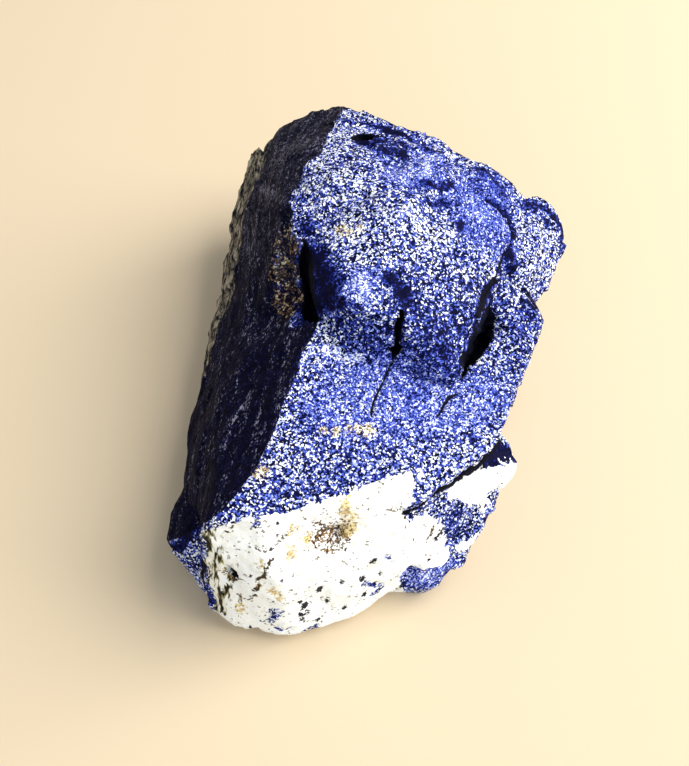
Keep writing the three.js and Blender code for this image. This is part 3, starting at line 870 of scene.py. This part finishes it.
# %% [markdown]
# ## Relief
# Rock does not break into rolling hills. It breaks into chips: small flat facets that meet in edges.
# Scattered cells with a tilted plane in each give just that, in two sizes. Over them lies a fine rough
# noise. The flank splits along its layers, and the calcite along steps. All of it moves points along the
# normals.


# %% Chips and layers
def chips(points, size, tilt, channel):
    """Height of a small tilted plane around the nearest of many scattered centres."""
    scaled = points / size
    cell = np.floor(scaled)
    nearest = np.full(len(points), np.inf)
    height = np.zeros(len(points))
    for step in itertools.product((-1, 0, 1), repeat=3):
        home = cell + step
        centre = home + 0.5 + 0.5 * np.stack([lattice_value(home, channel + k) for k in range(3)], axis=1)
        away = scaled - centre
        distance = np.einsum("ij,ij->i", away, away)
        slope = np.stack([lattice_value(home, channel + 3 + k) for k in range(3)], axis=1)
        closer = distance < nearest
        height = np.where(closer, np.einsum("ij,ij->i", away, slope), height)
        nearest = np.minimum(nearest, distance)
    return height * size * tilt


def rough(points, spacing, channel, octaves=3):
    """Noise over noise: each layer has half the spacing and half the height of the one before."""
    total = np.zeros(len(points))
    for octave in range(octaves):
        total += noise(points, spacing / 2 ** octave, channel + octave) / 2 ** octave
    return total


def layers(points, along, across, stretch, spacing, channel):
    """Noise drawn out along one direction, as in a layered or fibrous rock."""
    along = np.array(along, float) / np.linalg.norm(along)
    across = np.array(across, float) / np.linalg.norm(across)
    third = np.cross(along, across)
    turned = np.stack([points @ along / stretch, points @ across, points @ third], axis=1)
    return noise(turned, spacing, channel) + 0.5 * noise(turned, spacing / 2, channel + 1)


RIDGE_WAY = (-0.21, -0.97, -0.10)
DOWN = (0, 0.1, -1)
broad_chips = chips(broken, size=8.5, tilt=0.12, channel=10)
fine_chips = chips(broken, size=3.2, tilt=0.17, channel=20)
grain_noise = rough(broken, spacing=2.8, channel=30)
flank_layers = layers(broken, RIDGE_WAY, (-0.5, 0.1, 0.85), stretch=8.0, spacing=2.4, channel=40)
wall_steps = chips(broken * (1, 1, 0.6), size=4.5, tilt=0.07, channel=50)
wall_fibres = layers(broken, DOWN, (1, 0, 0), stretch=9.0, spacing=1.7, channel=60)
print("chips reach %.2f mm" % np.abs(broad_chips).max())

# %% Grooves and dents
CRACK_SIZES = [(0.9, 0.7), (0.8, 0.7), (1.3, 1.0), (0.9, 0.9), (1.0, 0.8), (0.8, 0.9)]
GROOVES = [      # depth, half width and line of a groove
    *((*size, line) for size, line in zip(CRACK_SIZES, BLUE_CRACKS)),
    (1.0, 0.9, SLOT_LINE),
    (1.8, 1.6, [(28.5, 9, 41), (31, 7.5, 36.5), (33.5, 5, 34), (35.5, 2, 31)]),
    (0.8, 1.0, [(-4, 34, 51.5), (-1, 31, 53), (2, 33, 52)]),
    (1.2, 1.1, [(-36.5, -36, 25), (-36.5, -40, 24.5), (-37, -42, 19)]),
    (0.7, 0.8, [(-7, -10, 52), (-7.5, -13.5, 48), (-7.5, -17.5, 41)]),
]
DENTS = [      # centre, radius and depth of a dent
    (4.5, 26.5, 53, 3.6, 1.2), (8.5, 16.5, 54.5, 2.0, 0.9), (14.5, 16, 52.5, 3.0, 0.9),
    (13, 9, 51.5, 2.6, 1.1), (18.5, 5, 48, 1.6, 0.8), (3.5, -11, 50.5, 3.0, 1.1),
    (-3.5, -14, 50.5, 2.2, 0.7), (12.5, -5, 49.5, 3.2, 0.7), (28, 9.5, 41.5, 1.3, 1.3),
    (-12, 1, 51, 2.4, 0.7), (0.5, 38, 50, 3.0, 0.7), (39, 20, 33, 3.0, 0.8), (-1, 43.5, 48, 4.0, 1.3),
    (9, 36, 48, 2.6, 0.8), (18, 32, 46.5, 2.6, 0.8), (-17, 24, 51, 2.4, 0.6),
]
carving = sum(depth * seam(laid(line), half_width) for depth, half_width, line in GROOVES)
carving += sum(depth * glow([place]) for *place, depth in DENTS)
print("carving %.1f mm deep at most" % carving.max())

# %% The finished surface
on_calcite = smoothstep(calcite, -0.6, 0.6)
on_columns = smoothstep(columns, -0.8, 0.6)
on_crust = smoothstep(crust, -0.8, 0.8) * (1 - on_calcite)
on_flank = flank * (1 - on_calcite)
on_lapis = (1 - on_calcite) * (1 - on_flank) * (1 - on_crust)
hackly = 1 - 0.65 * smoothstep(-north, 18, 22) * smoothstep(face_up, 0.7, 0.9)      # less so on the facet
relief = on_lapis * hackly * (broad_chips + fine_chips + 0.30 * grain_noise)
relief += on_flank * (0.35 * flank_layers + 0.45 * broad_chips + 0.12 * grain_noise)
relief += on_calcite * (0.25 + wall_steps + 0.3 * fine_chips + 0.12 * grain_noise)
relief += on_columns * 0.55 * wall_fibres
relief += on_crust * (0.45 * np.abs(flank_layers) + 0.35 * grain_noise)
relief -= carving + 0.5 * glow(RUSTY_HOLLOW)
points = broken + normals_of(broken) * (relief * quiet)[:, None]

# the finished surface is stretched by a hair, so that it fills the box of the solid exactly
solid_low, solid_high = np.array(cad_low) / MM, np.array(cad_high) / MM
low, high = points.min(axis=0), points.max(axis=0)
fit = (solid_high - solid_low) / (high - low)
points = solid_low + (points - low) * fit
print("fitted to the box of the solid by", fit.round(4))

# %% The stone's mesh
mesh = bpy.data.meshes.new("lapis")
mesh.from_pydata((points * MM).tolist(), [], quads.tolist())
mesh.polygons.foreach_set("use_smooth", np.ones(len(quads), bool))
stone = bpy.data.objects.new("lapis", mesh)
scene.collection.objects.link(stone)

zones = {
    "calcite": calcite, "stain": stain, "orange": orange, "dots": dots, "rust": rust, "gold": gold,
    "crack": crack, "crust": crust, "columns": columns, "flank": flank, "charcoal": charcoal,
    "frost_and_highlight": frost_and_highlight, "calm": calm, "step_shade": step_shade, "shade_patches": shade_patches, "deep": deep,
    "royal": royal, "tone_light_shade": tone_light_shade,
}
for name, values in zones.items():
    attribute = mesh.attributes.new(name, "FLOAT", "POINT")
    attribute.data.foreach_set("value", np.asarray(values, np.float32))
print("stone:", len(mesh.vertices), "points,", len(zones), "attributes")

# %% [markdown]
# ## Mixing the rock
# Everything that is painted comes from grains: Voronoi cells a third of a millimetre wide, bent by noise,
# each with its own random value. A ramp turns the value into navy, royal blue, periwinkle or white. The
# same group of nodes makes the grains of the blue rock, of the flank and of the calcite, in other sizes.
# Three short helpers keep the node trees readable: one adds a node, one does a sum, and one scales or
# shifts a vector.


# %% Node helpers
def add(tree, kind, inputs=None, **settings):
    """A node with its settings and inputs. An input is a constant, or the output of another node."""
    made = tree.nodes.new(kind)
    for name, value in settings.items():
        setattr(made, name, value)
    for socket, value in (inputs or {}).items():
        if isinstance(value, bpy.types.NodeSocket):
            tree.links.new(value, made.inputs[socket])
        else:
            made.inputs[socket].default_value = value
    return made


def maths(tree, operation, *values, clamp=False):
    """The result of one sum on one, two or three values."""
    node = add(tree, "ShaderNodeMath", dict(enumerate(values)), operation=operation, use_clamp=clamp)
    return node.outputs[0]


def moved(tree, operation, vector, other):
    """A vector scaled by a number, or with another vector added to it."""
    socket = "Scale" if operation == "SCALE" else 1
    return add(tree, "ShaderNodeVectorMath", {0: vector, socket: other}, operation=operation).outputs[0]


# %% Grain group
BORDER_BEND = 1.5        # how far noise bends the borders, in grains
CLUSTER_SCALE = 0.45     # clusters are about two grains wide
FINE_SHARE = 0.85
CLUSTER_SHARE = 0.25


def make_grain():
    """Grains: the random value of the Voronoi cell under each point, after noise has bent the borders.

    Two sizes are added, so that grains gather in clusters. A small offset keeps the sum centred on a half.
    """
    tree = bpy.data.node_groups.new("rock_grain", "ShaderNodeTree")
    tree.interface.new_socket("Vector", in_out="INPUT", socket_type="NodeSocketVector")
    size = tree.interface.new_socket("Size", in_out="INPUT", socket_type="NodeSocketFloat")
    size.default_value = 0.6
    for name in ("Value", "Cluster"):
        tree.interface.new_socket(name, in_out="OUTPUT", socket_type="NodeSocketFloat")
    entry = add(tree, "NodeGroupInput")
    scale = maths(tree, "DIVIDE", 1.0, entry.outputs["Size"])
    place = moved(tree, "SCALE", entry.outputs["Vector"], scale)
    bend = add(tree, "ShaderNodeTexNoise", {"Vector": place, "Scale": 0.9, "Detail": 1.0}).outputs["Color"]
    bent = moved(tree, "ADD", place, moved(tree, "SCALE", bend, BORDER_BEND))
    fine = add(tree, "ShaderNodeTexVoronoi", {"Vector": bent, "Scale": 1.0}).outputs["Color"]
    coarse = add(tree, "ShaderNodeTexVoronoi", {"Vector": bent, "Scale": CLUSTER_SCALE}).outputs["Color"]
    fine_value = add(tree, "ShaderNodeSeparateColor", {0: fine}).outputs[0]
    cluster_value = add(tree, "ShaderNodeSeparateColor", {0: coarse}).outputs[1]
    total = maths(tree, "MULTIPLY_ADD", fine_value, FINE_SHARE, -0.05)
    total = maths(tree, "MULTIPLY_ADD", cluster_value, CLUSTER_SHARE, total)
    add(tree, "NodeGroupOutput", {"Value": total, "Cluster": cluster_value})
    return tree


rock_grain = make_grain()
print("group:", rock_grain.name, "with", len(rock_grain.nodes), "nodes")

# %% [markdown]
# ## One material for one stone
# The rock grades from one kind into the next, so it has a single material. Each kind of rock mixes its
# own colour first. Then the zones, stored on the points as distances or shares, decide which colour wins,
# and a little noise on the distance makes each border ragged. Object coordinates keep every grain in its
# place. The helpers below all work in this one tree, so that the mixing reads like a recipe.

# %% Start of the material
rock = bpy.data.materials.new("lapis_and_calcite")
rock.use_nodes = True
tree = rock.node_tree
shader = tree.nodes["Principled BSDF"]
shader.inputs["Specular IOR Level"].default_value = 0.06
in_mm = moved(tree, "SCALE", add(tree, "ShaderNodeTexCoord").outputs["Object"], 1 / MM)
zone = {name: add(tree, "ShaderNodeAttribute", attribute_name=name).outputs["Fac"] for name in zones}
print("zones in the material:", ", ".join(zone))


# %% Helpers for this material
def plus(base, value, share=1.0):
    """The base with a share of a value added to it."""
    return maths(tree, "MULTIPLY_ADD", value, share, base)


def times(value, other):
    """Two values multiplied."""
    return maths(tree, "MULTIPLY", value, other)


def centre(value):
    """A value between 0 and 1, moved to lie around zero."""
    return plus(-0.5, value)


def ease(value, low, high):
    """0 below low, 1 above high, and a smooth ramp between."""
    inputs = {"Value": value, "From Min": low, "From Max": high}
    return add(tree, "ShaderNodeMapRange", inputs, interpolation_type="SMOOTHSTEP").outputs[0]


def blend(share, below, above):
    """Two colours mixed by a share."""
    return add(tree, "ShaderNodeMix", {0: share, 6: below, 7: above}, data_type="RGBA").outputs[2]


def ramp(value, stops):
    """A value turned into a colour along a row of stops, each a place and a colour."""
    node = add(tree, "ShaderNodeValToRGB", {0: value})
    elements = node.color_ramp.elements
    for place, _ in stops[2:]:
        elements.new(place)
    for element, (place, colour) in zip(elements, stops):
        element.position = place
        element.color = (*colour, 1)
    return node.outputs[0]


def turned(turn, stretch=(1, 1, 1)):
    """Millimetres turned by three angles in degrees and divided by a stretch, for streaks along one way."""
    inputs = {"Vector": in_mm, "Rotation": tuple(map(math.radians, turn)), "Scale": stretch}
    return add(tree, "ShaderNodeMapping", inputs, vector_type="TEXTURE").outputs[0]


def cloud(size, vector=in_mm, detail=2.0):
    """Noise of a given size in millimetres, between 0 and 1."""
    inputs = {"Vector": vector, "Scale": 1 / size, "Detail": detail}
    return add(tree, "ShaderNodeTexNoise", inputs).outputs["Fac"]


def grain(size, vector=in_mm):
    """The grain group placed in the material, with grains of a given size in millimetres."""
    return add(tree, "ShaderNodeGroup", {"Vector": vector, "Size": size}, node_tree=rock_grain).outputs


def ragged(distance, size, reach_mm, channel=0.0):
    """A signed distance whose zero line wanders by up to the reach."""
    wander = centre(cloud(size, moved(tree, "ADD", in_mm, (channel, channel, channel))))
    return plus(distance, wander, 2 * reach_mm)


print("ready for grains in", len(tree.nodes), "nodes")

# %% [markdown]
# ### The blue rock
# Lazurite grains are navy to periwinkle, and calcite grains between them are white. Where the fracture is
# frosted the values are pushed up, where it is calm they are drawn together and the grains are finer.
# Painted shade pushes them down on the step, in recesses and along thin crevices, and a painted highlight
# pushes them up along the facet edge. Pyrite and rust are flecks of grain size.

# %% Lapis colour
BLUES = [
    (0.07, (0.0015, 0.002, 0.022)),     # navy
    (0.24, (0.008, 0.014, 0.165)),      # ink
    (0.42, (0.028, 0.048, 0.350)),      # royal blue
    (0.62, (0.075, 0.115, 0.580)),      # bright blue
    (0.80, (0.235, 0.310, 0.840)),      # periwinkle
    (0.97, (0.900, 0.920, 0.960)),      # snow
]
PYRITE = [(0.1, (0.02, 0.012, 0.010)), (0.4, (0.30, 0.20, 0.09)), (0.7, (0.95, 0.90, 0.70))]
CONTRAST = 2.45
CONTRAST_SHIFT = {"calm": -1.20, "royal": -0.25, "shade_patches": -1.40}
LEAST_CONTRAST = 0.4
MIDDLE_VALUE = 0.352
VALUE_SHIFT = {"royal": -0.06, "frost_and_highlight": 0.05, "calm": 0.22, "tone_light_shade": 1.0, "step_shade": -0.20, "shade_patches": -0.62}

blue_grain = grain(0.34)
coarse = blue_grain["Value"]
fine = grain(0.29, turned((15, 30, 50)))["Value"]
fleck = grain(0.42, turned((40, 20, 10)))["Value"]
centred = centre(plus(coarse, plus(fine, coarse, -1.0), zone["calm"]))
contrast = CONTRAST
for name, shift in CONTRAST_SHIFT.items():
    contrast = plus(contrast, zone[name], shift)
contrast = plus(contrast, maths(tree, "MINIMUM", zone["tone_light_shade"], 0.0), 1.6)
value = plus(MIDDLE_VALUE, centred, maths(tree, "MAXIMUM", contrast, LEAST_CONTRAST))
for name, shift in VALUE_SHIFT.items():
    value = plus(value, zone[name], shift)
patches = centre(cloud(7.0))
clusters = centre(cloud(2.2))
# painted shade: thin dark crevice lines stand in for the shade in small fracture steps
crevice_cloud = cloud(1.5, turned((20, 0, 35), (1.8, 1, 1)), detail=3.0)
crevice_shade = times(ease(crevice_cloud, 0.59, 0.66), ease(patches, -0.10, 0.08))
for mark, shift in ((patches, 0.30), (clusters, 0.30), (crevice_shade, -0.35)):
    value = plus(value, mark, shift)
gold_share = ease(times(zone["gold"], fleck), 0.20, 0.28)
blue_rock = blend(gold_share, ramp(value, BLUES), ramp(coarse, PYRITE))
print("blues:", len(BLUES), "stops")

# %% [markdown]
# ### The flank and its crust
# The flank is nearly black, partly from weathering and partly as painted shade, with streaks along its
# layers. Near the crown it is charcoal. The crust on the rim is clay: tan where it is thick, olive and
# black where the rock shows through.

# %% Flank colour
# partly painted shade: near-black stops for the flank that faces away from the window
DARK_FLANK = [
    (0.40, (0.0005, 0.0005, 0.006)), (0.58, (0.002, 0.002, 0.018)), (0.72, (0.009, 0.009, 0.044)),
    (0.84, (0.21, 0.21, 0.27)),
]
GREY_FLANK = [
    (0.38, (0.002, 0.002, 0.009)), (0.54, (0.008, 0.008, 0.024)), (0.66, (0.034, 0.032, 0.060)),
    (0.79, (0.19, 0.18, 0.23)),
]
CLAY = [
    (0.40, (0.006, 0.007, 0.016)), (0.47, (0.060, 0.052, 0.042)), (0.55, (0.220, 0.190, 0.140)),
    (0.66, (0.440, 0.380, 0.280)),
]
RIDGE_TURN = (0, 0, 77.8)       # degrees, along the ridge
flank_grain = grain(0.25, turned(RIDGE_TURN, (1.6, 1, 1)))["Value"]
flank_streaks = cloud(1.6, turned(RIDGE_TURN, (9, 1, 1)), detail=3.0)
flank_value = plus(plus(plus(-0.09, flank_grain, 0.58), flank_streaks, 0.60), zone["tone_light_shade"], 0.45)
flank_rock = blend(zone["charcoal"], ramp(flank_value, DARK_FLANK), ramp(flank_value, GREY_FLANK))
clay_streaks = cloud(1.1, turned(RIDGE_TURN, (3.5, 1, 1)), detail=5.0)
clay = ramp(plus(plus(-0.07, clay_streaks), flank_grain, 0.14), CLAY)
print("flank streaks turned", RIDGE_TURN[2], "degrees")

# %% [markdown]
# ### The calcite
# Calcite is white and nearly even, with faint cream clouds. Its stains are iron: thin brown lines, orange
# spots, small scattered specks, and a rusty hollow where the dark pits stand close together. Olive and
# black streaks run down the grooves at its edge.

# %% Calcite colour
MILK = [(0.14, (0.92, 0.90, 0.80)), (0.30, (0.98, 0.97, 0.90)), (0.52, (1.0, 1.0, 0.985))]
OLIVE = [
    (0.40, (0.012, 0.011, 0.010)), (0.45, (0.10, 0.085, 0.035)), (0.50, (0.40, 0.36, 0.20)),
    (0.55, (0.94, 0.92, 0.84)),
]
OCHRE = [(0.15, (0.16, 0.08, 0.02)), (0.40, (0.62, 0.38, 0.07)), (0.80, (0.90, 0.72, 0.28))]
UMBER = [(0.2, (0.030, 0.014, 0.012)), (0.6, (0.13, 0.060, 0.030)), (0.9, (0.42, 0.26, 0.10))]
SPECK_BROWN = (0.13, 0.095, 0.045, 1)
STAIN_BROWN = (0.065, 0.040, 0.018, 1)
DOT_BLACK = (0.018, 0.018, 0.026, 1)
SPECKS_END = 26.0       # height in millimetres above which the specks get no denser


def grainy(edge, amount):
    """A signed distance whose zero line follows the grains by an amount in millimetres."""
    return plus(edge, centre(fleck), amount)


milk = ramp(plus(times(blue_grain["Cluster"], 0.5), cloud(3.5), 0.5), MILK)
height_mm = add(tree, "ShaderNodeSeparateXYZ", {0: in_mm}).outputs[2]
low_down = ease(plus(SPECKS_END, height_mm, -1.0), 0.0, 16.0)
speck_gate = ease(plus(cloud(3.0), low_down, 0.07), 0.50, 0.58)
speck_share = times(times(ease(fleck, 0.85, 0.90), speck_gate), 0.9)
milk = blend(speck_share, milk, SPECK_BROWN)
stripes = centre(cloud(1.5, turned((0, 0, 0), (1, 1, 9))))
olive = ramp(cloud(0.9, turned((0, 0, 0), (1, 1, 10))), OLIVE)
milk = blend(ease(plus(zone["columns"], stripes, 9.0), -0.3, 0.3), milk, olive)
orange_share = times(ease(grainy(ragged(zone["orange"], 0.8, 0.4), 1.6), -0.15, 0.35), 0.85)
milk = blend(orange_share, milk, ramp(coarse, OCHRE))
pit_share = ease(plus(plus(0.45, fleck, -1.0), zone["rust"], 0.85), 0.52, 0.62)
milk = blend(pit_share, milk, ramp(coarse, UMBER))
stain_share = ease(grainy(ragged(zone["stain"], 0.7, 0.45), 0.5), -0.10, 0.10)
milk = blend(stain_share, milk, STAIN_BROWN)
dot_share = ease(grainy(ragged(zone["dots"], 0.9, 0.4, 5.0), 0.5), -0.08, 0.08)
milk = blend(dot_share, milk, DOT_BLACK)
print("calcite mixed, the tree has", len(tree.nodes), "nodes")

# %% [markdown]
# ### Putting the kinds together
# The order is that of the stone: blue rock, then the dark flank on it, partly weathered and partly painted
# shade, rust on the spur, the crust on the flank, and the calcite over all of them. Cracks and clefts come
# last and are painted near black as shade.

# %% All colours together
SPUR_RUST = [
    (0.40, (0.003, 0.003, 0.012)), (0.60, (0.022, 0.013, 0.014)), (0.78, (0.15, 0.070, 0.030)),
    (0.93, (0.66, 0.56, 0.38)),
]
# painted shade: cracks, clefts, the slot and the dark hollows are painted near black
SHADE_BLACK = (0.003, 0.003, 0.009, 1)
flank_share = ease(plus(zone["flank"], centred, 0.4), 0.35, 0.65)
rust_share = times(ease(ragged(zone["rust"], 1.5, 0.35), 0.42, 0.70), 0.92)
crust_share = ease(ragged(zone["crust"], 2.2, 2.2), -0.3, 0.3)
calcite_share = ease(ragged(ragged(zone["calcite"], 2.4, 1.3), 0.7, 0.9, 9.0), -0.10, 0.10)
hollow_share = ease(ragged(zone["deep"], 1.2, 0.45, 7.0), -0.20, 0.05)
crack_share = ease(ragged(zone["crack"], 1.0, 0.22, 3.0), -0.10, 0.10)
shade = maths(tree, "MAXIMUM", crack_share, hollow_share)
colour = blue_rock
for share, above in (
    (flank_share, flank_rock), (rust_share, ramp(fleck, SPUR_RUST)), (crust_share, clay),
    (calcite_share, milk), (shade, SHADE_BLACK),
):
    colour = blend(share, colour, above)
tree.links.new(colour, shader.inputs["Base Color"])
print("colour nodes:", len(tree.nodes))

# %% [markdown]
# ### Gloss and fine relief
# Whiter grains are a little smoother, and the flank and the clay are the dullest. The same grains that
# carry the colour lift the surface by little more than a tenth of a millimetre, so that light catches on
# them.

# %% Roughness and bump
BUMP_HEIGHT = 0.16 * MM
dull = maths(tree, "MAXIMUM", zone["flank"], crust_share)
roughness = maths(tree, "MULTIPLY_ADD", dull, 0.20, plus(0.66, value, -0.15), clamp=True)
tree.links.new(roughness, shader.inputs["Roughness"])
height = plus(cloud(0.9, detail=1.5), coarse, 0.6)
bump = add(tree, "ShaderNodeBump", {"Height": height, "Strength": 0.8, "Distance": BUMP_HEIGHT})
tree.links.new(bump.outputs[0], shader.inputs["Normal"])
mesh.materials.append(rock)
print("material:", rock.name, "with", len(tree.nodes), "nodes")

# %% [markdown]
# ## Into the library
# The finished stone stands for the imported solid, which stays for collisions. It rides on the only body
# there is.

# %% Joining the frame
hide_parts("lapis_stone")
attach(stone, "root")

# %% Size and finish
low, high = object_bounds()
print("visual box in mm:", [round(v / MM, 1) for v in (*low, *high)])
